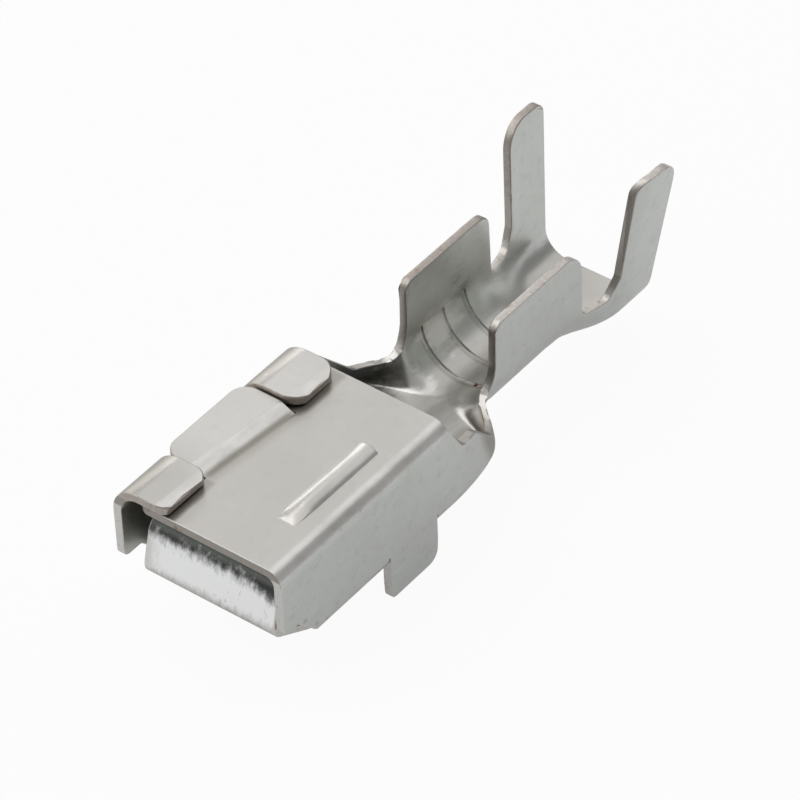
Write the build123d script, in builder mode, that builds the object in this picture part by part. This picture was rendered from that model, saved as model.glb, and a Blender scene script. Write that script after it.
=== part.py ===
from build123d import *
import os
from math import atan, cos, degrees, radians, tan

# A female crimp terminal for a flat blade, stamped and folded from one plated strip.
# The origin is the middle of the mouth, on the middle plane of the blade.
# X runs from the mouth to the wire end, Y to the wall with the lock tabs, Z up.

# The strip and the blade it takes
sheet = 0.35
blade_width = 6.30
blade_thickness = 0.80
blade_side_gap = 0.20
least_bend = 0.10

# The box that holds the blade
box_length = 9.55
box_height = 4.25
box_corner = 0.20
roof_corner = 0.35
roof_edge = 2.65
roof_front_corner = 0.45
far_wall_lead = 0.12

# The front of both walls stops short of the floor
foot_length = 0.80
foot_height = 1.34
foot_slope_length = 1.28
foot_front_round = 0.30
foot_inner_round = 0.20

# Lock tabs that fold from one wall over the roof
tab_bend = 0.85
tab_root = 1.00
tab_relief = 0.80
tab_lift = 0.13
tip_lift = 0.04
tip_length = 0.45
front_tab_length = 2.42
front_tab_reach = 2.45
front_tab_round = 0.50
rear_tab_start = 6.90
rear_tab_length = 2.45
rear_tab_reach = 2.70
rear_tab_round = 0.80

# The ear of the roof, lifted between the tabs over the edge of the wall
ear_slit = 0.06
ear_rise = 0.30
ear_ramp_front = 1.50
ear_ramp_rear = 1.07
ear_ramp_run = 0.60
ear_edge = 3.46
ear_corner = 0.70
ear_seat_gap = 0.04

# The pressed bead on the roof
bead_start = 2.25
bead_length = 4.65
bead_fade = 1.10
bead_fade_rise = 0.03
bead_place = -2.15
bead_width = 0.90
bead_rise = 0.20
bead_end_wall = 0.20

# The tangs pressed down from the floor in line with the walls
tang_start = 5.94
tang_length = 2.71
tang_drop = 1.50
tang_front_round = 0.25
tang_rear_round = 0.55
tang_slit = 0.08
tang_window = 1.75

# The contact tongue, folded back from the floor into the mouth
tongue_width = 5.84
tongue_offset = -0.35
tongue_root = 1.95
tongue_nose = 0.10
tongue_nose_height = 1.12
tongue_ramp_angle = 75.0
tongue_nose_bend = 0.20
tongue_crest_bend = 0.50
tongue_slack_bend = 2.00
tongue_blade_gap = 0.60
tongue_crest_end = 3.80
tongue_tip = 7.20
tongue_tip_drop = 0.90
tongue_overlap = 1.00

# The neck, where the wall edges step down behind the roof
neck_start = 9.90
neck_fall_length = 0.70
neck_step_length = 1.55
neck_step_drop = 1.55
neck_low_start = 12.45
neck_low_drop = 2.93
neck_round = 0.35

# The neck at even steps from the box to the barrel. Each row gives the share of the change that
# the width, the underside and the corner radius have made, and the inward lean of the walls.
neck_shape = (
    (0.000, 0.40, 0.000, 0.0),
    (0.007, 0.80, 0.000, 0.5),
    (0.027, 1.10, 0.003, 1.5),
    (0.053, 1.25, 0.010, 4.0),
    (0.090, 1.30, 0.020, 8.0),
    (0.140, 1.30, 0.050, 13.5),
    (0.350, 1.25, 0.190, 16.0),
    (0.780, 1.15, 0.600, 9.0),
    (0.980, 1.05, 0.925, 2.0),
)

# The barrel for the bare wire and its two wings
barrel_half_width = 2.20
barrel_lift = 0.08
barrel_flat = 0.05
barrel_start = 14.40
barrel_end = 17.80
wing_start = 14.28
wing_length = 5.07
wing_height = 4.57
wing_slant = 0.10
wing_foot_round = 1.55
wing_front_round = 0.45
wing_rear_round = 0.70

# Grooves across the wire barrel that grip the strands
groove_count = 3
groove_start = 14.95
groove_spacing = 1.30
groove_width = 0.20
groove_depth = 0.07
groove_height = 2.02

# The wider barrel for the insulation and its two wings
grip_fall_end = 21.50
grip_spread_start = 18.70
grip_formed = 22.00
grip_start = 21.20
grip_length = 2.21
grip_left_width = 2.69
grip_left_corner = 1.05
grip_left_short = 0.15
grip_left_front_round = 1.10
grip_left_rear_round = 0.55
grip_right_width = 2.27
grip_right_corner = 1.30
grip_right_front_round = 0.60
grip_right_rear_round = 1.05
grip_right_lean = 10.8
grip_drop = 0.50
grip_height = 7.67
grip_steps = 7
notch_drop = 2.75
notch_ramp_length = 0.40
notch_ramp_rise = 0.90
notch_round = 0.35

# How far the cuts run clear of the part
clearance = 3.0

# Sizes worked out from those above
inner_width = blade_width + 2 * blade_side_gap
half_width = inner_width / 2 + sheet
roof_under = blade_thickness / 2
roof_top = roof_under + sheet
floor_under = roof_top - box_height
foot_level = floor_under + foot_height
least_outer_bend = least_bend + sheet
outer_corner = box_corner + sheet
tab_top = roof_top + tab_lift + sheet
tip_top = roof_top + tip_lift + sheet
ear_top = roof_top + ear_rise
wall_top = ear_top - sheet - ear_seat_gap
front_tab_start = -far_wall_lead
front_tab_end = front_tab_start + front_tab_length
ear_start = front_tab_end + ear_slit
ear_end = rear_tab_start - ear_slit
ear_middle = (ear_start + ear_end) / 2
ear_ramp_start = (ear_ramp_front + ear_ramp_rear) / 2
ear_slant = degrees(atan((ear_ramp_front - ear_ramp_rear) / (ear_end - ear_start)))
tang_end = tang_start + tang_length
crest_level = roof_under - tongue_blade_gap
nose_level = floor_under + tongue_nose_height
crest_start = (crest_level - nose_level) / tan(radians(tongue_ramp_angle)) - tongue_nose
step_level = roof_top - neck_step_drop
low_level = roof_top - neck_low_drop
notch_level = roof_top - notch_drop
barrel_under = floor_under + barrel_lift
barrel_radius = barrel_half_width - barrel_flat
wing_end = wing_start + wing_length
wing_top = barrel_under + wing_height
grip_under = floor_under - grip_drop
grip_top = grip_under + grip_height
part_end = grip_start + grip_length
tab_spring = tab_top - tab_bend - sheet
neck_top = wing_top + sheet
clear_top = grip_top + clearance
clear_depth = grip_under - clearance


def wall_place(half, lean, inset, height):
    """Distance of a wall from the middle at a height, on a face set in by inset."""
    return half + height * tan(radians(lean)) - inset / cos(radians(lean))


def between(start, end, share):
    """Value that lies a share of the way from one to another."""
    return start + share * (end - start)


def eased(place, start, end):
    """Share of a change that is made at a place, with a soft start and a soft end."""
    share = min(max((place - start) / (end - start), 0.0), 1.0)
    return share * share * (3 - 2 * share)


def neck_section(step):
    """Sizes of the neck at one row of its shape."""
    width_share, rise_share, corner_share, lean = neck_shape[step]
    place = between(neck_start, barrel_start, (step + 1) / (len(neck_shape) + 1))
    half = between(half_width, barrel_half_width, width_share)
    under = between(floor_under, barrel_under, rise_share)
    corner = between(outer_corner, barrel_radius, corner_share)
    return (place, half, half, under, corner, corner, -lean, -lean)


def grip_section(step):
    """Sizes of the insulation barrel at one step from the wire barrel to its full form."""
    place = between(barrel_end, grip_formed, step / grip_steps)
    fall = eased(place, barrel_end, grip_fall_end)
    spread = eased(place, grip_spread_start, grip_formed)
    return (
        place,
        between(barrel_half_width, grip_left_width, spread),
        between(barrel_half_width, grip_right_width, spread),
        between(barrel_under, grip_under, fall),
        between(barrel_radius, grip_left_corner + sheet, spread),
        between(barrel_radius, grip_right_corner + sheet, spread),
        0,
        grip_right_lean * spread,
    )


def channel_section(size, inset, top):
    """Filled section of the channel for one row of sizes, set in by inset, up to a level."""
    place, left, right, under, left_corner, right_corner, left_lean, right_lean = size
    height = top - under
    with BuildSketch(Plane.YZ.offset(place)) as section:
        with BuildLine():
            Polyline(
                (wall_place(left, left_lean, inset, height), top),
                (wall_place(left, left_lean, inset, inset), under + inset),
                (-wall_place(right, right_lean, inset, inset), under + inset),
                (-wall_place(right, right_lean, inset, height), top),
                close=True,
            )
        make_face()
        lowest = section.vertices().group_by(Axis.Y)[0]
        fillet(lowest.sort_by(Axis.X)[-1], left_corner - inset)
        lowest = section.vertices().group_by(Axis.Y)[0]
        fillet(lowest.sort_by(Axis.X)[0], right_corner - inset)
    return section.sketch


def channel_solid(inset):
    """Filled channel from the box to past the wire end, set in by inset."""
    neck = [channel_section(size, inset, neck_top) for size in neck_sections]
    grip = [channel_section(size, inset, clear_top) for size in grip_sections]
    with BuildPart() as solid:
        loft(neck)
        extrude(neck[-1], amount=barrel_end - barrel_start)
        loft(grip)
        extrude(grip[-1], amount=part_end - grip_formed + clearance)
    return solid.part


def bent_strip(plane, path, bends, width, side=Side.LEFT):
    """Strip whose outer face follows a path on a plane, one sheet thick on one side of it."""
    with BuildPart() as strip:
        with BuildSketch(plane):
            with BuildLine():
                FilletPolyline(*path, radius=bends)
                offset(amount=sheet, side=side)
            make_face()
        extrude(amount=width)
    return strip.part


def bead_bar(level, length):
    """Rounded bar on a flat level that fades in at its front and ends square."""
    with BuildPart() as bar:
        for place, rise in ((0.0, bead_fade_rise), (bead_fade, bead_rise), (length, bead_rise)):
            with BuildSketch(Plane.YZ.offset(bead_start + place)):
                with BuildLine():
                    ThreePointArc(
                        (bead_place - bead_width / 2, level),
                        (bead_place, level + rise),
                        (bead_place + bead_width / 2, level),
                    )
                    Line((bead_place + bead_width / 2, level), (bead_place - bead_width / 2, level))
                make_face()
        loft(ruled=True)
    return bar.part


def side_outline(level, front_round, rear_round):
    """Face that clears all above the side outline of the neck and the wings, on the middle plane."""
    with BuildSketch(Plane.XZ) as outline:
        with BuildLine():
            FilletPolyline(
                (box_length, clear_top),
                (box_length, roof_under),
                (box_length + neck_fall_length, step_level),
                (box_length + neck_step_length, step_level),
                (neck_low_start, low_level),
                (wing_start - wing_slant, low_level),
                (wing_start, wing_top),
                (wing_end, wing_top),
                (wing_end + wing_slant, notch_level),
                (grip_start - notch_ramp_length, notch_level),
                (grip_start, notch_level + notch_ramp_rise),
                (grip_start, level),
                (part_end, level),
                (part_end, clear_depth),
                (part_end + 2 * clearance, clear_depth),
                (part_end + 2 * clearance, clear_top),
                radius=(
                    neck_round,
                    neck_round,
                    neck_round,
                    neck_round,
                    wing_foot_round,
                    wing_front_round,
                    wing_rear_round,
                    notch_round,
                    notch_round,
                    notch_round,
                    front_round,
                    rear_round,
                    0,
                    0,
                ),
                close=False,
            )
            Line((part_end + 2 * clearance, clear_top), (box_length, clear_top))
        make_face()
    return outline.sketch


def foot_outline(front):
    """Face that clears all below and before the foot of a wall that starts at front."""
    with BuildSketch(Plane.XZ) as outline:
        with BuildLine():
            FilletPolyline(
                (front, roof_under),
                (front, foot_level),
                (foot_length, foot_level),
                (foot_length + foot_slope_length, floor_under),
                (foot_length + foot_slope_length, clear_depth),
                (-clearance, clear_depth),
                radius=(foot_front_round, foot_inner_round, foot_inner_round, 0),
                close=False,
            )
            Polyline((-clearance, clear_depth), (-clearance, roof_under), (front, roof_under))
        make_face()
    return outline.sketch


# Sizes of the channel along its length
box_section = (neck_start, half_width, half_width, floor_under, outer_corner, outer_corner, 0, 0)
barrel_section = (
    barrel_start,
    barrel_half_width,
    barrel_half_width,
    barrel_under,
    barrel_radius,
    barrel_radius,
    0,
    0,
)
neck_rows = [neck_section(step) for step in range(len(neck_shape))]
neck_sections = [box_section] + neck_rows + [barrel_section]
grip_sections = [grip_section(step) for step in range(grip_steps + 1)]

# The side outlines of the left and the right half
left_outline = side_outline(grip_top - grip_left_short, grip_left_front_round, grip_left_rear_round)
right_outline = side_outline(grip_top, grip_right_front_round, grip_right_rear_round)

# The foot outlines of the left and the right wall
left_foot = foot_outline(-far_wall_lead)
right_foot = foot_outline(0)

# The box, one fold after another from the edge of the roof round to the top of the far wall
box_path = (
    (roof_edge, roof_top),
    (-half_width, roof_top),
    (-half_width, floor_under),
    (half_width, floor_under),
    (half_width, wall_top),
)
box_bends = (roof_corner + sheet, outer_corner, outer_corner)
box_front = Plane.YZ.offset(-far_wall_lead)
box = bent_strip(box_front, box_path, box_bends, neck_start + far_wall_lead, Side.RIGHT)

# The lock tabs, each from the wall over the roof and down to its tip
front_tip = half_width - front_tab_reach
front_tab_path = (
    (half_width, roof_top - tab_root),
    (half_width, tab_top),
    (front_tip + tip_length, tab_top),
    (front_tip, tip_top),
)
rear_tip = half_width - rear_tab_reach
rear_tab_path = (
    (half_width, roof_top - tab_root),
    (half_width, tab_top),
    (rear_tip + tip_length, tab_top),
    (rear_tip, tip_top),
)
tab_bends = (tab_bend + sheet, least_outer_bend)
front_strip = bent_strip(Plane.YZ.offset(front_tab_start), front_tab_path, tab_bends, front_tab_length)
rear_strip = bent_strip(Plane.YZ.offset(rear_tab_start), rear_tab_path, tab_bends, rear_tab_length)

with BuildPart() as lock_tabs:
    add(front_strip)
    add(rear_strip)
    # Their plan, with rounded corners at the tips
    with BuildSketch() as tab_plan:
        with Locations((front_tab_start, half_width)):
            Rectangle(front_tab_length, front_tab_reach, align=(Align.MIN, Align.MAX))
        with Locations((rear_tab_start, half_width)):
            Rectangle(rear_tab_length, rear_tab_reach, align=(Align.MIN, Align.MAX))
        fillet(tab_plan.vertices().group_by(Axis.Y)[1], front_tab_round)
        fillet(tab_plan.vertices().group_by(Axis.Y)[0], rear_tab_round)
    extrude(amount=tab_top + tab_root, both=True, mode=Mode.INTERSECT)

# The ear, a strip that climbs from the roof and runs out over the wall. It is drawn from the
# foot of its ramp, then turned, because that foot runs aslant, and trimmed to its plan.
ear_path = (
    (roof_edge + ear_edge, ear_top),
    (ear_ramp_run, ear_top),
    (0, roof_top),
    (-sheet, roof_top),
)
ear_bends = (least_outer_bend, least_bend)
ear_strip = bent_strip(Plane.YZ.offset(-ear_end), ear_path, ear_bends, 2 * ear_end)

with BuildPart() as ear:
    with Locations((ear_middle, ear_ramp_start)):
        add(ear_strip, rotation=(0, 0, -ear_slant))
    with BuildSketch() as ear_plan:
        with Locations((ear_middle, ear_edge)):
            Rectangle(ear_end - ear_start, ear_edge, align=(Align.CENTER, Align.MAX))
        fillet(ear_plan.vertices().group_by(Axis.Y)[-1], ear_corner)
    extrude(amount=ear_top, mode=Mode.INTERSECT)

# The contact tongue, from its tip to the crest, round the nose and back to the floor
tongue_path = (
    (tongue_tip, crest_level - tongue_tip_drop),
    (tongue_crest_end, crest_level),
    (crest_start, crest_level),
    (-tongue_nose, nose_level),
    (tongue_root, floor_under),
    (tongue_root + tongue_overlap, floor_under),
)
tongue_bends = (
    tongue_slack_bend + sheet,
    tongue_crest_bend + sheet,
    tongue_nose_bend + sheet,
    tongue_crest_bend + sheet,
)
tongue_plane = Plane.XZ.offset(-tongue_offset - tongue_width / 2)
tongue = bent_strip(tongue_plane, tongue_path, tongue_bends, tongue_width)

with BuildPart() as tangs:
    with BuildSketch(Plane.XZ.offset(half_width)):
        with BuildLine():
            FilletPolyline(
                (tang_start, floor_under + outer_corner),
                (tang_start, floor_under - tang_drop),
                (tang_end, floor_under - tang_drop),
                (tang_end, floor_under + outer_corner),
                radius=(tang_front_round, tang_rear_round),
            )
            Line((tang_end, floor_under + outer_corner), (tang_start, floor_under + outer_corner))
        make_face()
    extrude(amount=-sheet)
    mirror(about=Plane.XZ)

groove_places = [groove_start + groove_spacing * count for count in range(groove_count)]
groove_sections = [
    channel_section((place,) + barrel_section[1:], sheet - groove_depth, neck_top)
    for place in groove_places
]

with BuildPart() as grooves:
    for section in groove_sections:
        extrude(section, amount=groove_width)
    split(bisect_by=Plane.XY.offset(barrel_under + groove_height), keep=Keep.BOTTOM)

channel_outside = channel_solid(0.0)
channel_inside = channel_solid(sheet)
bead_outside = bead_bar(roof_top, bead_length)
bead_inside = bead_bar(roof_under, bead_length - bead_end_wall)

with BuildPart() as channel:
    add(channel_outside)
    add(channel_inside, mode=Mode.SUBTRACT)
    add(grooves.part, mode=Mode.SUBTRACT)

with BuildPart() as terminal:
    add(box)
    add(channel.part)

    # Only the far wall reaches past the mouth
    with BuildSketch(Plane.XY.offset(clear_depth)):
        with Locations((0, half_width - sheet)):
            Rectangle(clearance, 2 * half_width, align=Align.MAX)
    extrude(amount=clear_top - clear_depth, mode=Mode.SUBTRACT)

    # Side outline of the neck, the wings and the wire end
    extrude(left_outline, amount=half_width + clearance, dir=(0, 1, 0), mode=Mode.SUBTRACT)
    extrude(right_outline, amount=half_width + clearance, dir=(0, -1, 0), mode=Mode.SUBTRACT)

    # Room for the ear in the roof, and the free corner of the roof at the mouth
    with BuildSketch(Plane.XY.offset(roof_under)):
        with BuildLine():
            Polyline(
                (ear_start - ear_slit, ear_ramp_front),
                (ear_end + ear_slit, ear_ramp_rear),
                (ear_end + ear_slit, ear_edge),
                (ear_start - ear_slit, ear_edge),
                close=True,
            )
        make_face()
    extrude(amount=sheet, mode=Mode.SUBTRACT)
    upright_edges = terminal.edges().filter_by(Axis.Z)
    fillet(upright_edges.sort_by_distance((0, roof_edge, roof_top))[0], roof_front_corner)
    add(ear.part)

    # The tabs replace the top of the wall, with relief beside their bends
    with BuildSketch(Plane.XY.offset(tab_spring)):
        with Locations((front_tab_end + tab_relief, half_width)):
            Rectangle(front_tab_length + tab_relief, sheet, align=Align.MAX)
        with Locations((rear_tab_start - tab_relief, half_width)):
            Rectangle(rear_tab_length + 2 * tab_relief, sheet, align=(Align.MIN, Align.MAX))
    extrude(amount=wall_top - tab_spring, mode=Mode.SUBTRACT)
    add(lock_tabs.part)

    # The bead, raised above the roof and hollow below it
    add(bead_outside)
    add(bead_inside, mode=Mode.SUBTRACT)

    # Below and before the walls the front is open
    extrude(left_foot, amount=half_width + clearance, dir=(0, 1, 0), mode=Mode.SUBTRACT)
    extrude(right_foot, amount=half_width + clearance, dir=(0, -1, 0), mode=Mode.SUBTRACT)
    add(tongue)

    # Windows beside the tangs, and the tangs
    with BuildSketch(Plane.XY.offset(floor_under)):
        for side in (-1, 1):
            with Locations(((tang_start + tang_end) / 2, side * (half_width - tang_window / 2))):
                Rectangle(tang_length + 2 * tang_slit, tang_window)
    extrude(amount=outer_corner, mode=Mode.SUBTRACT)
    add(tangs.part)

terminal.part.label = "terminal"
os.makedirs("parts", exist_ok=True)
export_step(terminal.part, "parts/terminal.step")
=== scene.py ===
"""Looks of a crimp terminal: one strip of plated brass, stamped and folded, on a pale floor.

Lengths are in metres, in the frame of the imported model: X runs from the mouth to the wire
end, Y to the wall that carries the lock tabs, and Z up. Finishes name their places and sizes
in millimetres, because their patterns are that small. A pattern is a mask from 0 to 1 that
says where one paint covers another, and a range says where such a mask starts and ends.
"""

import logging
import math
from abc import ABC, abstractmethod
from dataclasses import dataclass, field
from enum import Enum
from functools import reduce
from typing import Any, Iterable, Union

import bmesh
import bpy
from mathutils import Matrix, Vector
from mathutils.bvhtree import BVHTree


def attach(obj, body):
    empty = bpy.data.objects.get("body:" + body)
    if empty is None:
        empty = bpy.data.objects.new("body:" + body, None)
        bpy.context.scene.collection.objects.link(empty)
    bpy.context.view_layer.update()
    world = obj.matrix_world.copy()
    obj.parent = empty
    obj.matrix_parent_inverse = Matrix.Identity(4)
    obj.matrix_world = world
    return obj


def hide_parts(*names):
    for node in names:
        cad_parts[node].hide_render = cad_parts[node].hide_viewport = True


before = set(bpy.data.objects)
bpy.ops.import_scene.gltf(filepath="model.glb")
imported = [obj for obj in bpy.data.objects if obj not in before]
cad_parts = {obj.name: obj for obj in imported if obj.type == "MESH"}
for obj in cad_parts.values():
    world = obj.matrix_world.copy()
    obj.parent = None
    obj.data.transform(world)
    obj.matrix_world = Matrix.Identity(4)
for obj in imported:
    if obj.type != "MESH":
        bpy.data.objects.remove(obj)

LOG = logging.getLogger("crimp_terminal")
MILLIMETRE = 0.001
WHITE = (1.0, 1.0, 1.0)
RAYS = ("Is Camera Ray", "Is Glossy Ray", "Is Transmission Ray")
Colour = tuple[float, float, float]
Point = tuple[float, float, float]
Range = tuple[float, float]


class Slot(Enum):
    """Places in the list of materials of the strip."""

    PLATE = 0
    CUT = 1


class Value:
    """A socket of a shader that adds its own maths nodes."""

    def __init__(self, graph: "Graph", socket: bpy.types.NodeSocket) -> None:
        """Keep the graph and the socket."""
        self.graph = graph
        self.socket = socket

    def maths(self, operation: str, *others: Union["Value", float]) -> "Value":
        """Add a Math node with this value first.

        Args:
            operation: Name of the operation.
            others: The values that follow this one.

        Returns:
            The result of the node.
        """
        inputs = dict(enumerate((self, *others)))
        return self.graph.value("ShaderNodeMath", {"operation": operation}, inputs)

    def __add__(self, other: Union["Value", float]) -> "Value":
        """This value plus another."""
        return self.maths("ADD", other)

    __radd__ = __add__

    def __mul__(self, other: Union["Value", float]) -> "Value":
        """This value times another."""
        return self.maths("MULTIPLY", other)

    __rmul__ = __mul__

    def __sub__(self, other: Union["Value", float]) -> "Value":
        """This value less another."""
        return self.maths("SUBTRACT", other)

    def __rsub__(self, other: float) -> "Value":
        """A number less this value."""
        return (self * -1.0) + other

    def size(self) -> "Value":
        """This value with its sign left off."""
        return self.maths("ABSOLUTE")

    def least(self, other: Union["Value", float]) -> "Value":
        """The smaller of this value and another."""
        return self.maths("MINIMUM", other)

    def most(self, other: Union["Value", float]) -> "Value":
        """The larger of this value and another."""
        return self.maths("MAXIMUM", other)

    def rise(self, start: float, end: float) -> "Value":
        """A smooth step, which runs down where its end is below its start.

        Args:
            start: The value at which the step is 0.
            end: The value at which it is 1.

        Returns:
            The step.
        """
        inputs = {"Value": self, "From Min": start, "From Max": end}
        settings = {"interpolation_type": "SMOOTHSTEP"}
        return self.graph.value("ShaderNodeMapRange", settings, inputs)

    def band(self, low: float, high: float, soft: float) -> "Value":
        """1 between two values and 0 outside them, with soft edges.

        Args:
            low: Where the band starts.
            high: Where the band ends.
            soft: Length over which each edge fades.

        Returns:
            The mask.
        """
        return self.rise(low - soft, low + soft) * self.rise(high + soft, high - soft)

    def frayed(self, noise: "Value", reach: float) -> "Value":
        """This value pushed up and down by a noise, so that a mask of it has ragged edges.

        Args:
            noise: The noise, from about 0 to 1.
            reach: How far the whole of the noise moves it.

        Returns:
            The ragged value.
        """
        return self + (noise - 0.5) * reach


def strongest(masks: Iterable[Value]) -> Value:
    """The largest of several masks at each place."""
    return reduce(Value.most, masks)


class Graph:
    """The node tree of one material, or of the world."""

    def __init__(self, tree: bpy.types.NodeTree) -> None:
        """Start from an empty tree."""
        self.tree = tree
        tree.nodes.clear()

    @classmethod
    def material(cls, name: str) -> tuple[bpy.types.Material, "Graph"]:
        """Make a material with an empty tree.

        Args:
            name: Name of the material.

        Returns:
            The material and its graph.
        """
        made = bpy.data.materials.new(name)
        made.use_nodes = True
        return made, cls(made.node_tree)

    def node(
        self,
        kind: str,
        settings: dict[str, Any] | None = None,
        inputs: dict[Any, Any] | None = None,
    ) -> bpy.types.Node:
        """Add a node, set it up, and then fill or link its sockets.

        Args:
            kind: Type of the node.
            settings: Its own settings.
            inputs: A value or a link for each socket, by its name or its place.

        Returns:
            The node.
        """
        made = self.tree.nodes.new(kind)
        for name, setting in (settings or {}).items():
            setattr(made, name, setting)
        for name, given in (inputs or {}).items():
            socket = made.inputs[name]
            if isinstance(given, Value):
                self.tree.links.new(given.socket, socket)
            elif isinstance(given, bpy.types.NodeSocket):
                self.tree.links.new(given, socket)
            elif isinstance(given, tuple) and socket.type == "RGBA":
                socket.default_value = (*given, 1.0)
            else:
                socket.default_value = given
        return made

    def value(
        self,
        kind: str,
        settings: dict[str, Any] | None = None,
        inputs: dict[Any, Any] | None = None,
        output: int | str = 0,
    ) -> Value:
        """Add a node and take one of its outputs.

        Args:
            kind: Type of the node.
            settings: Its own settings.
            inputs: A value or a link for each socket.
            output: Name or place of the output.

        Returns:
            The output.
        """
        return Value(self, self.node(kind, settings, inputs).outputs[output])

    def parts(self, vector: Value) -> tuple[Value, ...]:
        """The three parts of a vector."""
        split = self.node("ShaderNodeSeparateXYZ", inputs={0: vector})
        return tuple(Value(self, socket) for socket in split.outputs)

    def rays(self) -> tuple[Value, Value]:
        """Tell the rays of the camera from those that metal or glass sends on.

        Returns:
            A mask of the rays of the camera, and one of the rays sent on.
        """
        light = self.node("ShaderNodeLightPath")
        seen, glossy, through = (Value(self, light.outputs[name]) for name in RAYS)
        return seen, glossy + through

    def mix(self, factor: Value, first: Value | Colour, second: Value | Colour) -> Value:
        """A colour between two others.

        Args:
            factor: Share of the second colour.
            first: The colour at 0.
            second: The colour at 1.

        Returns:
            The mixed colour.
        """
        settings = {"data_type": "RGBA"}
        return self.value("ShaderNodeMix", settings, {0: factor, 6: first, 7: second}, 2)

    def bump(self, height: Value, depth: float, below: Value | None = None) -> Value:
        """A normal bent by a height.

        Args:
            height: The height, from 0 to 1.
            depth: What a height of 1 stands for, in millimetres.
            below: A bump that this one lies on.

        Returns:
            The normal.
        """
        inputs: dict[Any, Any] = {"Height": height, "Distance": depth * MILLIMETRE, "Strength": 1.0}
        if below is not None:
            inputs["Normal"] = below
        return self.value("ShaderNodeBump", inputs=inputs)

    def metal(self, colour: Value, roughness: Value, normal: Value) -> None:
        """Finish a material as bare metal.

        Args:
            colour: Its colour.
            roughness: Its roughness.
            normal: Its bent normal.
        """
        inputs = {"Base Color": colour, "Metallic": 1.0, "Roughness": roughness, "Normal": normal}
        self.finish(self.node("ShaderNodeBsdfPrincipled", inputs=inputs))

    def finish(self, shader: bpy.types.Node, kind: str = "ShaderNodeOutputMaterial") -> None:
        """Link a shader to the output of the tree."""
        self.node(kind, inputs={"Surface": shader.outputs[0]})


@dataclass(frozen=True)
class Mark:
    """A small round mark, with its middle and radius in millimetres."""

    middle: Point
    radius: float


@dataclass(frozen=True)
class Noise:
    """A soft noise: its waves in a millimetre, its finer layers and its scale along each axis."""

    scale: float
    detail: float = 2.0
    rough: float = 0.5
    stretch: Point = (1.0, 1.0, 1.0)


CLOUD = Noise(0.35, 3.0)
MOTTLE = Noise(2.2, 4.0, 0.62)
STREAKS = Noise(1.5, 4.0, 0.65, (0.6, 1.7, 1.7))
FLECKS = Noise(3.4, 4.0, 0.68, (1.0, 1.3, 0.55))
TORN = Noise(7.0, 3.0, 0.65)


class Surface:
    """The surface of the piece as a finish reads it, on Object coordinates."""

    def __init__(self, graph: Graph) -> None:
        """Add the nodes that read the place, in millimetres, and the way that it faces.

        Args:
            graph: The graph to build in.
        """
        self.graph = graph
        self.noises: dict[Noise, Value] = {}
        source = graph.value("ShaderNodeTexCoord", output="Object")
        inputs = {"Vector": source, "Scale": (1 / MILLIMETRE,) * 3}
        self.place = graph.value("ShaderNodeMapping", inputs=inputs)
        self.x, self.y, self.z = graph.parts(self.place)
        facing = graph.value("ShaderNodeTexCoord", output="Normal")
        self.along, self.across, self.upward = graph.parts(facing)

    def noise(self, noise: Noise) -> Value:
        """Read a noise at the place, with one node for each kind of noise.

        Args:
            noise: The noise.

        Returns:
            Its value, from about 0 to 1.
        """
        if noise not in self.noises:
            place = self.place
            if noise.stretch != Noise.stretch:
                inputs = {"Vector": place, "Scale": noise.stretch}
                place = self.graph.value("ShaderNodeMapping", inputs=inputs)
            inputs = {"Vector": place, "Scale": noise.scale}
            inputs.update({"Detail": noise.detail, "Roughness": noise.rough})
            self.noises[noise] = self.graph.value("ShaderNodeTexNoise", inputs=inputs)
        return self.noises[noise]

    def near(self, mark: Mark) -> Value:
        """Build a mask that fades from the middle of a mark to its radius.

        Args:
            mark: The mark.

        Returns:
            The mask, 1 in the middle.
        """
        inputs = {0: self.place, 1: mark.middle}
        away = self.graph.value("ShaderNodeVectorMath", {"operation": "DISTANCE"}, inputs, "Value")
        return away.rise(mark.radius, 0.0)


class Pattern(ABC):
    """Where one paint covers another."""

    @abstractmethod
    def mask(self, on: Surface) -> Value:
        """Build the mask.

        Args:
            on: The surface of the piece.

        Returns:
            The mask, 1 where the upper paint covers fully.
        """


@dataclass(frozen=True)
class PaintedHighlight(Pattern):
    """Painted highlight: the plate lighter on top of the tabs and the ear, and in blotches along
    the roof's near bend.
    """

    raised_level: Range = (0.82, 1.0)
    raised_facing: Range = (0.5, 0.9)
    raised_from: Range = (1.5, 3.5)
    raised_share: float = 0.40
    bend_side: Range = (-0.08, -0.35)
    bend_facing: Range = (0.25, 0.6)
    bend_level: Range = (-0.4, 0.0)
    blotch: Noise = Noise(1.1, 3.0, 0.6, (0.7, 1.0, 1.0))
    blotch_edge: Range = (0.30, 0.62)
    blotch_share: float = 0.5

    def mask(self, on: Surface) -> Value:
        """Build the mask.

        Args:
            on: The surface of the piece.

        Returns:
            The mask, 1 where the painted highlight covers fully.
        """
        raised = on.z.rise(*self.raised_level) * on.upward.rise(*self.raised_facing)
        raised = raised * on.x.rise(*self.raised_from) * self.raised_share
        bend = on.across.rise(*self.bend_side) * on.upward.rise(*self.bend_facing)
        bend = bend * on.z.rise(*self.bend_level)
        blotch = on.noise(self.blotch).rise(*self.blotch_edge)
        return raised.most(bend * (blotch * self.blotch_share + (1.0 - self.blotch_share)))


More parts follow.
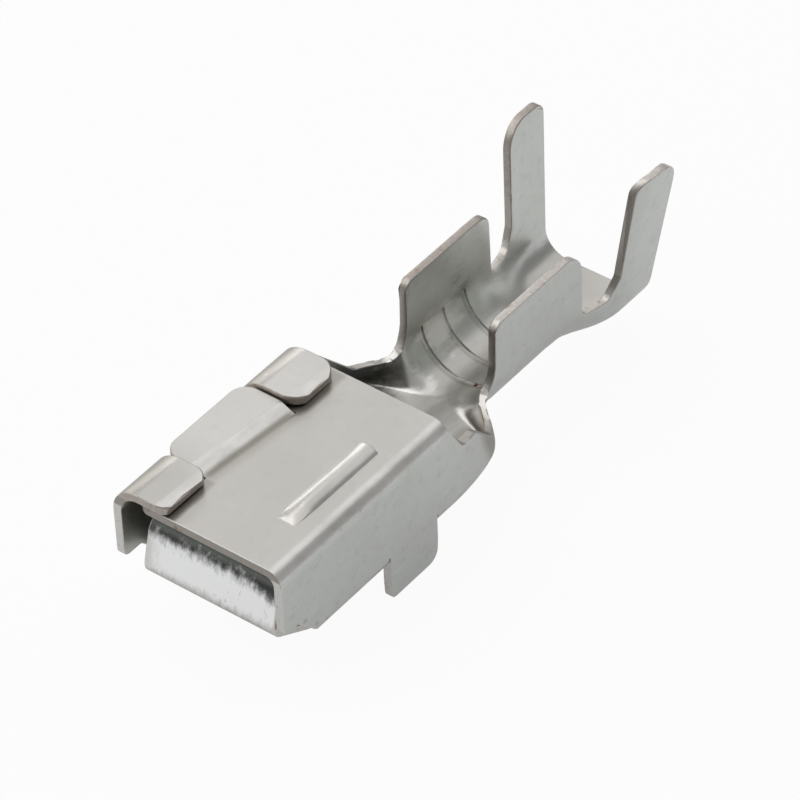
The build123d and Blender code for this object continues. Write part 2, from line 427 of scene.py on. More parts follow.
@dataclass(frozen=True)
class Tarnish(Pattern):
    """A thin tarnish in mottles and clouds, a little stronger on the walls."""

    mottle_edge: Range = (0.50, 0.70)
    mottle_share: float = 0.05
    wall_facing: Range = (0.5, 0.9)
    wall_share: float = 0.08
    cloud_edge: Range = (0.35, 0.75)
    cloud_share: float = 0.08

    def mask(self, on: Surface) -> Value:
        """Build the mask.

        Args:
            on: The surface of the piece.

        Returns:
            The mask, 1 where the tarnish covers fully.
        """
        share = on.across.size().rise(*self.wall_facing) * self.wall_share + self.mottle_share
        mottle = on.noise(MOTTLE).rise(*self.mottle_edge) * share
        return mottle + on.noise(CLOUD).rise(*self.cloud_edge) * self.cloud_share


@dataclass(frozen=True)
class HollowShade(Pattern):
    """Painted shade in the bottom of the neck and the barrels, in clouds, and on the neck's near
    shoulder.
    """

    start: Range = (9.5, 9.9)
    level: Range = (-1.7, -2.6)
    facing: Range = (0.1, 0.8)
    cloud_edge: Range = (0.30, 0.62)
    cloud_share: float = 0.16
    least_share: float = 0.04
    shoulder_ends: Range = (10.9, 13.2)
    shoulder_fade: float = 0.5
    shoulder_inner: Range = (-1.2, -2.0)
    shoulder_outer: Range = (-3.6, -3.4)
    shoulder_level: Range = (0.1, -0.6)
    shoulder_share: float = 0.80

    def mask(self, on: Surface) -> Value:
        """Build the mask.

        Args:
            on: The surface of the piece.

        Returns:
            The mask, 1 where the painted shade covers fully.
        """
        share = on.noise(CLOUD).rise(*self.cloud_edge) * self.cloud_share + self.least_share
        inside = on.x.rise(*self.start) * on.z.rise(*self.level)
        bottom = inside * on.upward.rise(*self.facing) * share
        shoulder = on.x.band(*self.shoulder_ends, self.shoulder_fade)
        shoulder = shoulder * on.y.rise(*self.shoulder_inner) * on.y.rise(*self.shoulder_outer)
        shoulder = shoulder * on.z.rise(*self.shoulder_level)
        return bottom.most(shoulder * self.shoulder_share)


@dataclass(frozen=True)
class Tip:
    """Where a lock tab starts and ends along the box, and how far across it its tip reaches."""

    start: float
    end: float
    edge: float


@dataclass(frozen=True)
class TipShadow(Pattern):
    """Painted shadow on the roof beside the tips of the lock tabs."""

    tips: tuple[Tip, ...] = (Tip(-0.12, 2.30, 1.25), Tip(6.90, 9.35, 1.00))
    before: float = 0.15
    behind: float = 0.10
    fade: float = 0.10
    reach: float = 0.34
    gap: float = 0.02
    roof_above: Range = (0.81, 0.77)
    roof_below: Range = (0.69, 0.73)
    share: float = 0.55

    def mask(self, on: Surface) -> Value:
        """Build the mask.

        Args:
            on: The surface of the piece.

        Returns:
            The mask, 1 where the painted shadow covers fully.
        """
        beside = [
            on.x.band(tip.start - self.before, tip.end + self.behind, self.fade)
            * on.y.rise(tip.edge - self.reach, tip.edge - self.gap)
            for tip in self.tips
        ]
        roof = on.z.rise(*self.roof_above) * on.z.rise(*self.roof_below)
        return roof * strongest(beside) * self.share


@dataclass(frozen=True)
class EarFootShade(Pattern):
    """Painted shade along the foot of the ear's ramp, which runs at a slant."""

    ends: Range = (2.36, 6.84)
    end_fade: float = 0.30
    foot: float = 1.50
    slant: float = 0.095
    line: Range = (-0.16, 0.02)
    line_share: float = 0.45
    wide: Range = (-0.60, 0.0)
    wide_share: float = 0.40
    ramp: Range = (0.26, 0.06)
    level: Range = (0.3, 0.6)

    def mask(self, on: Surface) -> Value:
        """Build the mask.

        Args:
            on: The surface of the piece.

        Returns:
            The mask, 1 where the painted shade covers fully.
        """
        past = on.y + on.x * self.slant - (self.foot + self.slant * self.ends[0])
        foot_shade = past.rise(*self.line) * self.line_share + past.rise(*self.wide) * self.wide_share
        foot_shade = foot_shade * past.rise(*self.ramp) * on.z.rise(*self.level)
        return foot_shade * on.x.band(*self.ends, self.end_fade)


@dataclass(frozen=True)
class BeadShade(Pattern):
    """Shade on the near flank of the bead."""

    ends: Range = (2.40, 6.95)
    end_fade: float = 0.08
    sides: Range = (-2.62, -2.14)
    side_fade: float = 0.04
    facing: Range = (-0.10, -0.32)
    level: Range = (0.3, 0.6)
    share: float = 0.30

    def mask(self, on: Surface) -> Value:
        """Build the mask.

        Args:
            on: The surface of the piece.

        Returns:
            The mask, 1 where the shade covers fully.
        """
        flank = on.x.band(*self.ends, self.end_fade) * on.y.band(*self.sides, self.side_fade)
        return flank * on.across.rise(*self.facing) * on.z.rise(*self.level) * self.share


@dataclass(frozen=True)
class GrooveShade(Pattern):
    """Painted shade in the grooves across the wire barrel."""

    places: tuple[float, ...] = (14.95, 16.25, 17.55)
    half_width: float = 0.10
    fade: float = 0.04
    side_pull: float = 0.5
    inward: Range = (0.2, 0.5)
    level: Range = (-1.2, -1.6)
    share: float = 0.45

    def mask(self, on: Surface) -> Value:
        """Build the mask.

        Args:
            on: The surface of the piece.

        Returns:
            The mask, 1 where the painted shade covers fully.
        """
        cuts = [
            on.x.band(place - self.half_width, place + self.half_width, self.fade)
            for place in self.places
        ]
        inward = on.upward - on.y * on.across * self.side_pull
        return strongest(cuts) * inward.rise(*self.inward) * on.z.rise(*self.level) * self.share


@dataclass(frozen=True)
class BendShade(Pattern):
    """Shade on the outside of the bends that carry the ear and the lock tabs."""

    facing: Range = (0.0, 0.40)
    side: Range = (2.3, 2.8)
    level: Range = (-0.5, 0.0)
    end: Range = (9.8, 9.4)
    share: float = 0.80

    def mask(self, on: Surface) -> Value:
        """Build the mask.

        Args:
            on: The surface of the piece.

        Returns:
            The mask, 1 where the shade covers fully.
        """
        bend = on.across.rise(*self.facing) * on.y.rise(*self.side) * on.z.rise(*self.level)
        return bend * on.x.rise(*self.end) * self.share


@dataclass(frozen=True)
class PaintedGlints(Pattern):
    """Painted highlight: bright streaks in the floor of the neck and on the far side of the wire
    barrel.
    """

    neck: Mark = Mark((13.3, 0.9, -3.0), 1.5)
    barrel: Mark = Mark((15.9, 1.85, -1.9), 1.8)
    barrel_share: float = 0.8
    fray: float = 1.4
    edge: Range = (0.15, 0.6)
    share: float = 0.85

    def mask(self, on: Surface) -> Value:
        """Build the mask.

        Args:
            on: The surface of the piece.

        Returns:
            The mask, 1 where the streaks cover fully.
        """
        near = on.near(self.neck).most(on.near(self.barrel) * self.barrel_share)
        return near.frayed(on.noise(STREAKS), self.fray).rise(*self.edge) * self.share


@dataclass(frozen=True)
class ShadeStreaks(Pattern):
    """Painted shade and reflection: dark streaks on the far wall of the neck and at the foot of the
    far wing.
    """

    neck: Mark = Mark((12.3, 2.8, -2.4), 2.3)
    wing: Mark = Mark((17.6, 1.85, -0.9), 1.5)
    wing_share: float = 0.35
    fray: float = 1.6
    edge: Range = (0.12, 0.75)
    start: Range = (0.0, 0.25)
    share: float = 0.70

    def mask(self, on: Surface) -> Value:
        """Build the mask.

        Args:
            on: The surface of the piece.

        Returns:
            The mask, 1 where the streaks cover fully.
        """
        near = on.near(self.neck).most(on.near(self.wing) * self.wing_share)
        ragged = near.frayed(on.noise(STREAKS), self.fray).rise(*self.edge)
        return ragged * near.rise(*self.start) * self.share


@dataclass(frozen=True)
class Pits(Pattern):
    """Small pits in the walls, and the dents at the near wall's foot."""

    noise: Noise = Noise(4.2, 2.0, 0.6)
    edge: Range = (0.66, 0.74)
    facing: Range = (0.7, 0.9)
    dents: tuple[Mark, ...] = (
        Mark((1.15, -3.7, -2.25), 0.22),
        Mark((1.75, -3.7, -2.85), 0.26),
        Mark((2.35, -3.7, -3.05), 0.20),
    )
    dent_fray: float = 2.0
    dent_edge: Range = (0.3, 0.9)
    dent_share: float = 0.42
    share: float = 0.30

    def mask(self, on: Surface) -> Value:
        """Build the mask.

        Args:
            on: The surface of the piece.

        Returns:
            The mask, 1 where the pits and dents are fully dark.
        """
        mottle = on.noise(MOTTLE)
        pits = on.noise(self.noise).rise(*self.edge) * on.across.size().rise(*self.facing)
        dents = [
            on.near(dent).frayed(mottle, self.dent_fray).rise(*self.dent_edge) * self.dent_share
            for dent in self.dents
        ]
        return strongest([pits * self.share, *dents])


@dataclass(frozen=True)
class Rust(Pattern):
    """A few small brown marks."""

    spots: tuple[Mark, ...] = (
        Mark((15.1, -0.55, -3.05), 0.18),
        Mark((14.75, -0.75, -3.02), 0.12),
        Mark((11.6, 3.5, -2.2), 0.25),
    )
    fray: float = 0.9
    edge: Range = (0.35, 0.75)

    def mask(self, on: Surface) -> Value:
        """Build the mask.

        Args:
            on: The surface of the piece.

        Returns:
            The mask, 1 where the rust covers fully.
        """
        spots = strongest(on.near(spot) for spot in self.spots)
        return spots.frayed(on.noise(MOTTLE), self.fray).rise(*self.edge)


@dataclass(frozen=True)
class TongueFace(Pattern):
    """The hammered front of the contact tongue: polished, and dark with painted shade above a
    ragged edge.
    """

    polished: Colour = (0.97, 0.975, 0.975)
    stain_and_shade: Colour = (0.30, 0.28, 0.24)
    shaded: Colour = (0.08, 0.084, 0.08)
    behind: Range = (1.5, 1.3)
    sides: Range = (3.25, 3.15)
    top: Range = (0.1, -0.1)
    dark_level: Range = (-1.08, -0.48)
    dark_fray: float = 1.0
    near_side: Range = (-1.8, -3.2)
    near_lift: float = 0.30
    foot_level: Range = (-1.80, -2.40)
    foot_fray: float = 0.7
    foot_share: float = 0.75
    far_side: Range = (1.7, 2.6)
    far_fray: float = 1.2
    far_share: float = 0.35
    speck_edge: Range = (0.60, 0.72)
    speck_share: float = 0.4

    def mask(self, on: Surface) -> Value:
        """Build the mask.

        Args:
            on: The surface of the piece.

        Returns:
            The mask, 1 on the front of the tongue.
        """
        front = on.x.rise(*self.behind) * on.y.size().rise(*self.sides)
        return front * on.z.rise(*self.top)

    def colour(self, on: Surface) -> Value:
        """Build the colour of the front.

        Args:
            on: The surface of the piece.

        Returns:
            The colour, grey at the foot and the far end and in specks, and dark with painted shade
            above a ragged edge.
        """
        flecks = on.noise(FLECKS)
        ragged = on.z.frayed(flecks, self.dark_fray) + on.y.rise(*self.near_side) * self.near_lift
        foot = on.z.frayed(flecks, self.foot_fray).rise(*self.foot_level) * self.foot_share
        far = on.y.frayed(flecks, self.far_fray).rise(*self.far_side) * self.far_share
        specks = flecks.rise(*self.speck_edge) * self.speck_share
        colour = on.graph.mix(strongest((foot, far, specks)), self.polished, self.stain_and_shade)
        # Painted shade: the upper part of the front goes dark above a ragged edge.
        return on.graph.mix(ragged.rise(*self.dark_level), colour, self.shaded)


@dataclass(frozen=True)
class PlateFinish:
    """Satin tin plate on rolled brass strip, as on both faces of the sheet.

    Depths are in millimetres.
    """

    name: str = "tin_plate"
    warm: Colour = (0.66, 0.642, 0.612)
    # The cool colour is painted shade: a darker, cooler tone on faces that look sideways, from how
    # the walls are lit.
    cool: Colour = (0.62, 0.635, 0.61)
    shaded_side_facing: Range = (0.25, 0.85)
    # Colour of the painted highlights and glints.
    bright: Colour = (0.90, 0.88, 0.85)
    shaded: Colour = (0.08, 0.084, 0.08)
    # Colour of the real tarnish and pits, and of the painted shade and shadow in hollows and seams.
    stain_and_shade: Colour = (0.30, 0.28, 0.24)
    brown: Colour = (0.16, 0.07, 0.03)
    roughness: float = 0.23
    mottle_roughness: float = 0.10
    grain_roughness: float = 0.08
    rust_roughness: float = 0.30
    grain: Noise = Noise(9.0, 3.0, stretch=(0.16, 1.0, 1.0))
    grain_depth: float = 0.0035
    mottle_depth: float = 0.006
    fleck_depth: float = 0.006
    # Painted shade and shadow: beside the tab tips, at the ear's foot, on the bead, in the grooves
    # and on the bends.
    seam_shades: tuple[Pattern, ...] = (TipShadow(), EarFootShade(), BeadShade(), GrooveShade(), BendShade())
    tongue: TongueFace = TongueFace()
    rust: Rust = Rust()

    def build(self) -> bpy.types.Material:
        """Build the material.

        Returns:
            The material, with its patterns on Object coordinates.
        """
        made, graph = Graph.material(self.name)
        on = Surface(graph)
        grain, mottle, flecks = on.noise(self.grain), on.noise(MOTTLE), on.noise(FLECKS)
        tongue, rust = self.tongue.mask(on), self.rust.mask(on)
        colour = graph.mix(tongue, self.sheet_colour(on), self.tongue.colour(on))
        colour = graph.mix(rust, colour, self.brown)
        rough = mottle * self.mottle_roughness + grain * self.grain_roughness
        rough = rough + rust * self.rust_roughness + self.roughness
        normal = graph.bump(grain, self.grain_depth)
        normal = graph.bump(mottle, self.mottle_depth, normal)
        normal = graph.bump(flecks * tongue, self.fleck_depth, normal)
        graph.metal(colour, rough, normal)
        return made

    def sheet_colour(self, on: Surface) -> Value:
        """Build the colour of the sheet, from the bare plate up.

        Args:
            on: The surface of the piece.

        Returns:
            The colour.
        """
        # Layers: painted highlight, real tarnish, painted shade in the hollows and seams, painted
        # glints, painted shade and reflection streaks, and real pits.
        layers = (
            (PaintedHighlight().mask(on), self.bright),
            (Tarnish().mask(on), self.stain_and_shade),
            (HollowShade().mask(on), self.stain_and_shade),
            (strongest(seam.mask(on) for seam in self.seam_shades), self.stain_and_shade),
            (PaintedGlints().mask(on), self.bright),
            (ShadeStreaks().mask(on), self.shaded),
            (Pits().mask(on), self.stain_and_shade),
        )
        # Painted shade: a cooler, darker tone on the faces that look sideways.
        colour = on.graph.mix(on.across.size().rise(*self.shaded_side_facing), self.warm, self.cool)
        for mask, paint in layers:
            colour = on.graph.mix(mask, colour, paint)
        return colour


@dataclass(frozen=True)
class Specks(Pattern):
    """Specks where the plate is gone and the brass shows."""

    speck: Noise = Noise(1.7, 4.0, 0.7)
    speck_edge: Range = (0.58, 0.68)
    cluster: Noise = Noise(0.6)
    cluster_edge: Range = (0.42, 0.58)

    def mask(self, on: Surface) -> Value:
        """Build the mask.

        Args:
            on: The surface of the piece.

        Returns:
            The mask, 1 in the specks.
        """
        clusters = on.noise(self.cluster).rise(*self.cluster_edge)
        return on.noise(self.speck).rise(*self.speck_edge) * clusters


@dataclass(frozen=True)
class PinkRims(Pattern):
    """Brass that shows pink, along the tops of the wings and the rims of the tabs."""

    wing_start: Range = (13.0, 13.2)
    wing_facing: Range = (0.6, 0.9)
    wing_share: float = 0.45
    tab_level: Range = (0.78, 0.82)
    tab_side: Range = (0.8, 0.9)
    tab_share: float = 0.6
    torn_edge: Range = (0.25, 0.60)

    def mask(self, on: Surface) -> Value:
        """Build the mask.

        Args:
            on: The surface of the piece.

        Returns:
            The mask, 1 where the pink covers fully.
        """
        wings = on.x.rise(*self.wing_start) * on.upward.rise(*self.wing_facing)
        tabs = on.z.rise(*self.tab_level) * on.y.rise(*self.tab_side)
        rims = (wings * self.wing_share).most(tabs * self.tab_share)
        return rims * on.noise(TORN).rise(*self.torn_edge)


@dataclass(frozen=True)
class ShadeAndTornRims(Pattern):
    """Darker edges: painted shade on the fronts of the wings and the roof, the neck and the tabs,
    and torn spots.
    """

    front_facing: Range = (-0.45, -0.8)
    wing_start: Range = (13.0, 13.2)
    wing_level: Range = (-1.8, -1.4)
    wing_share: float = 0.6
    lip_end: Range = (0.4, 0.2)
    lip_below: Range = (0.30, 0.40)
    lip_above: Range = (0.85, 0.75)
    lip_share: float = 0.7
    neck_ends: Range = (9.6, 14.3)
    neck_fade: float = 0.2
    neck_level: Range = (0.2, 0.0)
    neck_share: float = 0.45
    tab_level: Range = (0.78, 0.84)
    tab_side: Range = (0.8, 0.9)
    tab_share: float = 0.40
    torn_edge: Range = (0.60, 0.72)
    torn_share: float = 0.55

    def mask(self, on: Surface) -> Value:
        """Build the mask.

        Args:
            on: The surface of the piece.

        Returns:
            The mask, 1 where the edge is dark.
        """
        front = on.along.rise(*self.front_facing)
        wing = on.x.rise(*self.wing_start) * on.z.rise(*self.wing_level) * front
        lip = on.x.rise(*self.lip_end) * on.z.rise(*self.lip_below) * on.z.rise(*self.lip_above)
        neck = on.x.band(*self.neck_ends, self.neck_fade) * on.z.rise(*self.neck_level)
        tabs = on.z.rise(*self.tab_level) * on.y.rise(*self.tab_side)
        shares = (
            (wing, self.wing_share),
            (lip * front, self.lip_share),
            (neck, self.neck_share),
            (tabs, self.tab_share),
            (on.noise(TORN).rise(*self.torn_edge), self.torn_share),
        )
        return strongest(mask * share for mask, share in shares)


@dataclass(frozen=True)
class CutFinish:
    """Sheared edge of the strip: bright, with coppery specks where the plate has split.

    Depths are in millimetres.
    """

    name: str = "cut_edge"
    bright: Colour = (0.68, 0.665, 0.64)
    copper: Colour = (0.42, 0.24, 0.14)
    copper_share: float = 0.8
    pink: Colour = (0.56, 0.47, 0.41)
    dark: Colour = (0.22, 0.19, 0.16)
    roughness: float = 0.32
    torn_roughness: float = 0.25
    speck_roughness: float = 0.20
    torn_depth: float = 0.012

    def build(self) -> bpy.types.Material:
        """Build the material.

        Returns:
            The material, with its patterns on Object coordinates.
        """
        made, graph = Graph.material(self.name)
        on = Surface(graph)
        specks, torn = Specks().mask(on), on.noise(TORN)
        colour = graph.mix(specks * self.copper_share, self.bright, self.copper)
        colour = graph.mix(PinkRims().mask(on), colour, self.pink)
        # Painted shade on the rims, with the torn spots, in the dark colour.
        colour = graph.mix(ShadeAndTornRims().mask(on), colour, self.dark)
        rough = torn * self.torn_roughness + specks * self.speck_roughness + self.roughness
        graph.metal(colour, rough, graph.bump(torn, self.torn_depth))
        return made


@dataclass
class FoldedStrip:
    """The terminal itself: the folded strip with the soft edges that shearing leaves.

    Lengths are in metres.
    """

    node: str = "terminal"
    name: str = "folded_strip"
    sheet: float = 0.35 * MILLIMETRE
    cut_depth: float = 1.6
    merge: float = 0.5e-6
    flat_angle: float = math.radians(0.4)
    box_end: float = 9.45 * MILLIMETRE
    fold_angle: float = math.radians(120.0)
    edge_angle: float = math.radians(38.0)
    edge_width: float = 0.045 * MILLIMETRE
    edge_segments: int = 3
    edge_share: float = 0.45
    least_room: float = 0.09 * MILLIMETRE
    most_aligned: float = 0.8
    stray: float = 0.035 * MILLIMETRE
    smooth_angle: float = math.radians(40.0)
    barrel_start: float = 14.5 * MILLIMETRE
    barrel_end: float = 17.9 * MILLIMETRE
    barrel_top: float = -1.2 * MILLIMETRE
    barrel_turn: float = math.radians(75.0)
    groove_side: float = 0.7
    throat_start: float = 13.5 * MILLIMETRE
    throat_end: float = 14.6 * MILLIMETRE
    throat_levels: tuple[float, float] = (-3.069 * MILLIMETRE, -3.419 * MILLIMETRE)
    throat_reach: float = 0.03 * MILLIMETRE
    roof_top: float = 0.75 * MILLIMETRE
    bead_start: float = 2.25 * MILLIMETRE
    bead_reach: float = 0.004 * MILLIMETRE
    bead_step: float = 0.04 * MILLIMETRE
    set_level: float = 0.70 * MILLIMETRE
    set_sides: Range = (0.80 * MILLIMETRE, 2.35 * MILLIMETRE)
    set_angles: Range = (math.radians(8.0), math.radians(36.0))
    set_aligned: float = 0.9
    set_end: float = 0.3
    set_width: float = 0.20 * MILLIMETRE
    set_segments: int = 4
    body: str = "root"
    slot: str = "plated_brass"
    plate: PlateFinish = field(default_factory=PlateFinish)
    cut: CutFinish = field(default_factory=CutFinish)

    def build(self) -> bpy.types.Object:
        """Build the strip and dress it.

        Returns:
            The finished piece.
        """
        made = self.copy_of_node()
        solid = self.surface(made)
        self.clean(made)
        self.dress(made)
        self.mark_cut_faces(made)
        self.round_edges(made)
        self.settle(made, solid)
        self.shade(made)
        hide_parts(self.node)
        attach(made, self.body)
        return made

    def copy_of_node(self) -> bpy.types.Object:
        """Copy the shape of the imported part.

        Returns:
            A new object with its own mesh.
        """
        bpy.ops.object.select_all(action="DESELECT")
        made = bpy.data.objects.new(self.name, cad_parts[self.node].data.copy())
        made.data.name = self.name
        bpy.context.scene.collection.objects.link(made)
        made.select_set(True)
        bpy.context.view_layer.objects.active = made
        return made

    @staticmethod
    def surface(made: bpy.types.Object) -> BVHTree:
        """Keep the faces of the piece as they are now, to measure from later.

        Args:
            made: The piece.

        Returns:
            Its faces.
        """
        shape = bmesh.new()
        shape.from_mesh(made.data)
        tree = BVHTree.FromBMesh(shape)
        shape.free()
        return tree

    def clean(self, made: bpy.types.Object) -> None:
        """Join the loose triangles and mend the few that are badly laid.

        Args:
            made: The piece.
        """
        bpy.ops.object.mode_set(mode="EDIT")
        bpy.ops.mesh.select_all(action="SELECT")
        bpy.ops.mesh.remove_doubles(threshold=self.merge)
        bpy.ops.mesh.customdata_custom_splitnormals_clear()
        bpy.ops.object.mode_set(mode="OBJECT")
        shape = bmesh.new()
        shape.from_mesh(made.data)
        self.fade_bead(shape)
        self.join_flats(shape)
        self.turn_barrel_edges(shape)
        for level in self.throat_levels:
            self.clear_throat(shape, level)
        self.round_set_lines(shape)
        shape.to_mesh(made.data)
        shape.free()

    def fade_bead(self, shape: bmesh.types.BMesh) -> None:
        """Let the front end of the bead run out into the roof, with no step.

        Args:
            shape: The mesh of the piece.
        """
        for corner in shape.verts:
            at_end = abs(corner.co.x - self.bead_start) < self.bead_reach
            if at_end and self.merge < corner.co.z - self.roof_top < self.bead_step:
                corner.co.z = self.roof_top + 2 * self.merge

    def join_flats(self, shape: bmesh.types.BMesh) -> None:
        """Leave one face on each flat of the box, so that its edges round evenly.

        Args:
            shape: The mesh of the piece.
        """
        corners = [corner for corner in shape.verts if corner.co.x < self.box_end]
        known = set(corners)
        edges = [edge for edge in shape.edges if known.issuperset(edge.verts)]
        bmesh.ops.dissolve_limit(shape, angle_limit=self.flat_angle, verts=corners, edges=edges)

    def turn_barrel_edges(self, shape: bmesh.types.BMesh) -> None:
        """Turn the long edges that run across the grooves of the wire barrel.

        Args:
            shape: The mesh of the piece.
        """
        inside = [face for face in shape.faces if self.in_barrel(face)]
        known = set(inside)
        edges = [
            edge
            for edge in shape.edges
            if known.issuperset(edge.link_faces)
            and edge.calc_face_angle(math.pi) < self.barrel_turn
        ]
        bmesh.ops.beautify_fill(shape, faces=inside, edges=edges, method="ANGLE")

    def in_barrel(self, face: bmesh.types.BMFace) -> bool:
        """Whether a face lies along the round part of the wire barrel.

        Args:
            face: The face.

        Returns:
            True for such a face, and False for the side of a groove.
        """
        middle = face.calc_center_median()
        inside = self.barrel_start < middle.x < self.barrel_end and middle.z < self.barrel_top
        return inside and abs(face.normal.x) < self.groove_side

    def clear_throat(self, shape: bmesh.types.BMesh, level: float) -> None:
        """Replace the slivers that fold over each other where the neck meets the wire barrel.

        Args:
            shape: The mesh of the piece.
            level: Height of the sheet's face there.
        """
        corners = []
        for edge in shape.edges:
            middle = (edge.verts[0].co + edge.verts[1].co) / 2
            here = self.throat_start < middle.x < self.throat_end
            near = abs(middle.z - level) < self.throat_reach
            if here and near and edge.calc_face_angle(0.0) > self.fold_angle:
                corners.extend(edge.verts)
        known = {face for corner in corners for face in corner.link_faces}
        patch = [face for face in shape.faces if face in known]
        made = bmesh.ops.dissolve_faces(shape, faces=patch, use_verts=False)
        bmesh.ops.triangulate(shape, faces=made["region"])

    def round_set_lines(self, shape: bmesh.types.BMesh) -> None:
        """Round the lines where the ear and the tips of the tabs are set down.

        Args:
            shape: The mesh of the piece.
        """
        lines = [edge for edge in shape.edges if self.is_set_line(edge)]
        bmesh.ops.bevel(
            shape,
            geom=lines,
            offset=self.set_width,
            offset_type="OFFSET",
            segments=self.set_segments,
            profile=0.5,
            affect="EDGES",
            clamp_overlap=True,
        )
        LOG.info("%d set lines rounded", len(lines))

    def is_set_line(self, edge: bmesh.types.BMEdge) -> bool:
        """Whether an edge is a shallow fold along the ear or a tab, on either face of the sheet.

        Args:
            edge: The edge.

        Returns:
            True for a set line.
        """
        run = edge.verts[1].co - edge.verts[0].co
        middle = (edge.verts[0].co + edge.verts[1].co) / 2
        here = middle.z > self.set_level and self.set_sides[0] < middle.y < self.set_sides[1]
        lengthwise = run.length > self.set_width and abs(run.x) > self.set_aligned * run.length
        bent = self.set_angles[0] < edge.calc_face_angle(0.0) < self.set_angles[1]
        inner = all(abs(face.normal.x) < self.set_end for face in edge.link_faces)
        return here and lengthwise and bent and inner

    def dress(self, made: bpy.types.Object) -> None:
        """Give the piece its two finishes.

        Args:
            made: The piece.
        """
        made.data.materials.clear()
        made.data.materials.append(self.plate.build())
        made.data.materials.append(self.cut.build())

    def mark_cut_faces(self, made: bpy.types.Object) -> None:
        """Put the cut finish on faces with more than a sheet of metal behind them.

        Args:
            made: The piece.
        """
        shape = bmesh.new()
        shape.from_mesh(made.data)
        tree = BVHTree.FromBMesh(shape)
        for face in shape.faces:
            start = face.calc_center_median_weighted() - face.normal * self.merge
            depth = tree.ray_cast(start, -face.normal)[3]
            is_cut = depth is None or depth > self.cut_depth * self.sheet
            face.material_index = Slot.CUT.value if is_cut else Slot.PLATE.value
        shape.to_mesh(made.data)
        shape.free()

    def round_edges(self, made: bpy.types.Object) -> None:
        """Round the sharp edges a little.

        Args:
            made: The piece.
        """
        self.weigh_edges(made)
        bevel = made.modifiers.new("edge", "BEVEL")
        bevel.limit_method = "WEIGHT"
        bevel.width = self.edge_width
        bevel.segments = self.edge_segments
        bevel.use_clamp_overlap = False
        bevel.material = Slot.CUT.value
        bpy.ops.object.modifier_apply(modifier=bevel.name)

    def weigh_edges(self, made: bpy.types.Object) -> None:
        """Say how far each sharp edge may be rounded: less or not at all beside a narrow face.

        Args:
            made: The piece.
        """
        shape = bmesh.new()
        shape.from_mesh(made.data)
        weight = shape.edges.layers.float.new("bevel_weight_edge")
        folds = [edge for edge in shape.edges if edge.calc_face_angle(0.0) > self.fold_angle]
        folded = {corner for edge in folds for corner in edge.verts}
        for edge in shape.edges:
            if edge.calc_face_angle(0.0) < self.edge_angle or not folded.isdisjoint(edge.verts):
                continue
            room = self.room_beside(edge)
            if room > self.least_room:
                edge[weight] = min(1.0, self.edge_share * room / self.edge_width)
        shape.to_mesh(made.data)
        shape.free()

    def room_beside(self, edge: bmesh.types.BMEdge) -> float:
        """Length of the shortest edge that leads away from this one at a corner.

        Args:
            edge: The edge to be rounded.

        Returns:
            The length, in metres.
        """
        along = (edge.verts[1].co - edge.verts[0].co).normalized()
        room = math.inf
        for corner in edge.verts:
            for other in corner.link_edges:
                away = other.other_vert(corner).co - corner.co
                aligned = abs(away.normalized().dot(along))
                if other is not edge and aligned < self.most_aligned:
                    room = min(room, away.length)
        return room

    def settle(self, made: bpy.types.Object, solid: BVHTree) -> None:
        """Bring back the few corners that the rounding threw off the solid.

        Args:
            made: The piece.
            solid: The faces of the solid.
        """
        moved = 0
        for corner in made.data.vertices:
            place, _, _, away = solid.find_nearest(corner.co)
            if away > self.stray:
                corner.co = place
                moved += 1
        LOG.info("%d corners settled", moved)

    def shade(self, made: bpy.types.Object) -> None:
        """Shade the bends smoothly and the flats evenly.

        Args:
            made: The piece.
        """
        bpy.ops.object.shade_smooth_by_angle(angle=self.smooth_angle)
        even = made.modifiers.new("even", "WEIGHTED_NORMAL")
        even.keep_sharp = True
        bpy.ops.object.modifier_apply(modifier=even.name)


@dataclass(frozen=True)
class Lamp:
    """A square soft lamp, with its place and side in metres and its power in watts."""

    name: str
    place: Point
    size: float
    power: float


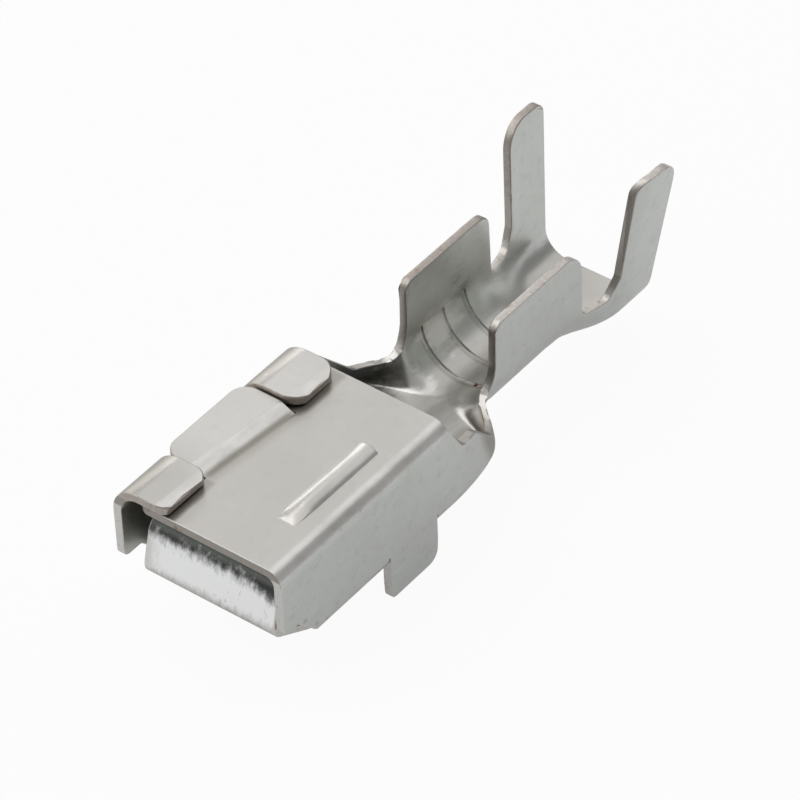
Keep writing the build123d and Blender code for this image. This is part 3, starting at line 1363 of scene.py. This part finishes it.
@dataclass
class Studio:
    """A pale floor, soft lamps and the camera, none of which are part of the object.

    Lengths are in metres and angles in degrees.
    """

    floor_level: float = -5.0 * MILLIMETRE
    floor_size: float = 3.0
    floor_colour: Colour = (0.90, 0.90, 0.90)
    floor_seen: float = 0.94
    floor_mirrored: float = 0.33
    sky: float = 0.24
    sky_seen: float = 1.0
    sky_mirrored: float = 0.1
    azimuth: float = -50.79
    elevation: float = 41.61
    roll: float = -2.53
    distance: float = 174.1 * MILLIMETRE
    aside: float = 6.88 * MILLIMETRE
    above: float = 7.33 * MILLIMETRE
    target_drop: float = 2.92 * MILLIMETRE
    focal_pixels: float = 5000.0
    frame_pixels: float = 800.0
    sensor: float = 36.0
    nearest: float = 0.01
    farthest: float = 10.0
    aim: Point = (0.010, 0.0, -0.001)
    lamps: tuple[Lamp, ...] = (
        Lamp("key_lamp", (-0.14, 0.26, 0.34), 0.58, 1.22),
        Lamp("back_lamp", (0.26, 0.40, 0.08), 0.34, 0.50),
        Lamp("top_lamp", (0.27, 0.04, 0.37), 0.52, 0.43),
    )

    def build(self) -> None:
        """Build the floor, the light and the camera."""
        self.add_floor()
        self.add_sky()
        for lamp in self.lamps:
            self.add_lamp(lamp)
        self.add_camera()

    def add_floor(self) -> None:
        """Lay the floor, which looks white to the camera and keeps the shadow."""
        bpy.ops.object.select_all(action="DESELECT")
        place = (0.0, 0.0, self.floor_level)
        bpy.ops.mesh.primitive_plane_add(size=self.floor_size, location=place)
        floor = bpy.context.object
        floor.name = "floor"
        made, graph = Graph.material("floor_paper")
        seen, mirrored = graph.rays()
        share = (seen * self.floor_seen + mirrored * self.floor_mirrored).least(1.0)
        paper = graph.node("ShaderNodeBsdfDiffuse", inputs={"Color": self.floor_colour})
        white = graph.node("ShaderNodeEmission", inputs={"Color": WHITE, "Strength": 1.0})
        inputs = {0: share, 1: paper.outputs[0], 2: white.outputs[0]}
        graph.finish(graph.node("ShaderNodeMixShader", inputs=inputs))
        floor.data.materials.append(made)

    def add_sky(self) -> None:
        """Light everything evenly, with a white background behind the floor."""
        world = bpy.data.worlds.new("studio")
        world.use_nodes = True
        bpy.context.scene.world = world
        graph = Graph(world.node_tree)
        seen, mirrored = graph.rays()
        share = (seen + mirrored * self.sky_mirrored).least(1.0)
        strength = share * (self.sky_seen - self.sky) + self.sky
        sky = graph.node("ShaderNodeBackground", inputs={"Color": WHITE, "Strength": strength})
        graph.finish(sky, "ShaderNodeOutputWorld")

    def add_lamp(self, lamp: Lamp) -> None:
        """Add a soft lamp that faces the object.

        Args:
            lamp: The lamp.
        """
        light = bpy.data.lights.new(lamp.name, "AREA")
        light.shape = "SQUARE"
        light.size = lamp.size
        light.energy = lamp.power
        holder = bpy.data.objects.new(lamp.name, light)
        bpy.context.scene.collection.objects.link(holder)
        ahead = Vector(self.aim) - Vector(lamp.place)
        holder.location = lamp.place
        holder.rotation_mode = "QUATERNION"
        holder.rotation_quaternion = ahead.to_track_quat("-Z", "Y")

    def add_camera(self) -> None:
        """Stand the camera where the photograph was taken from."""
        turns = (self.azimuth, self.elevation, self.roll)
        azimuth, elevation, roll = (math.radians(turn) for turn in turns)
        flat = Vector((math.sin(azimuth), -math.cos(azimuth), 0.0)) * math.cos(elevation)
        back = flat + Vector((0.0, 0.0, math.sin(elevation)))
        level = Vector((math.cos(azimuth), math.sin(azimuth), 0.0))
        upright = back.cross(level)
        right = level * math.cos(roll) + upright * math.sin(roll)
        up = upright * math.cos(roll) - level * math.sin(roll)
        eye = right * self.aside + up * self.above + back * self.distance
        eye -= Vector((0.0, 0.0, self.target_drop))
        lens = bpy.data.cameras.new("camera")
        lens.sensor_width = self.sensor
        lens.lens = self.focal_pixels / self.frame_pixels * self.sensor
        lens.clip_start = self.nearest
        lens.clip_end = self.farthest
        camera = bpy.data.objects.new("camera", lens)
        bpy.context.scene.collection.objects.link(camera)
        turned = Matrix((right, up, back)).transposed().to_4x4()
        camera.matrix_world = Matrix.Translation(eye) @ turned
        bpy.context.scene.camera = camera


def main() -> None:
    """Dress the terminal and stage it."""
    logging.basicConfig(level=logging.INFO, format="%(name)s: %(message)s")
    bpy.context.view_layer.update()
    strip = FoldedStrip().build()
    LOG.info("%s: %d faces", strip.name, len(strip.data.polygons))
    Studio().build()
    bpy.context.scene.view_settings.view_transform = "Standard"


if __name__ == "__main__":
    main()
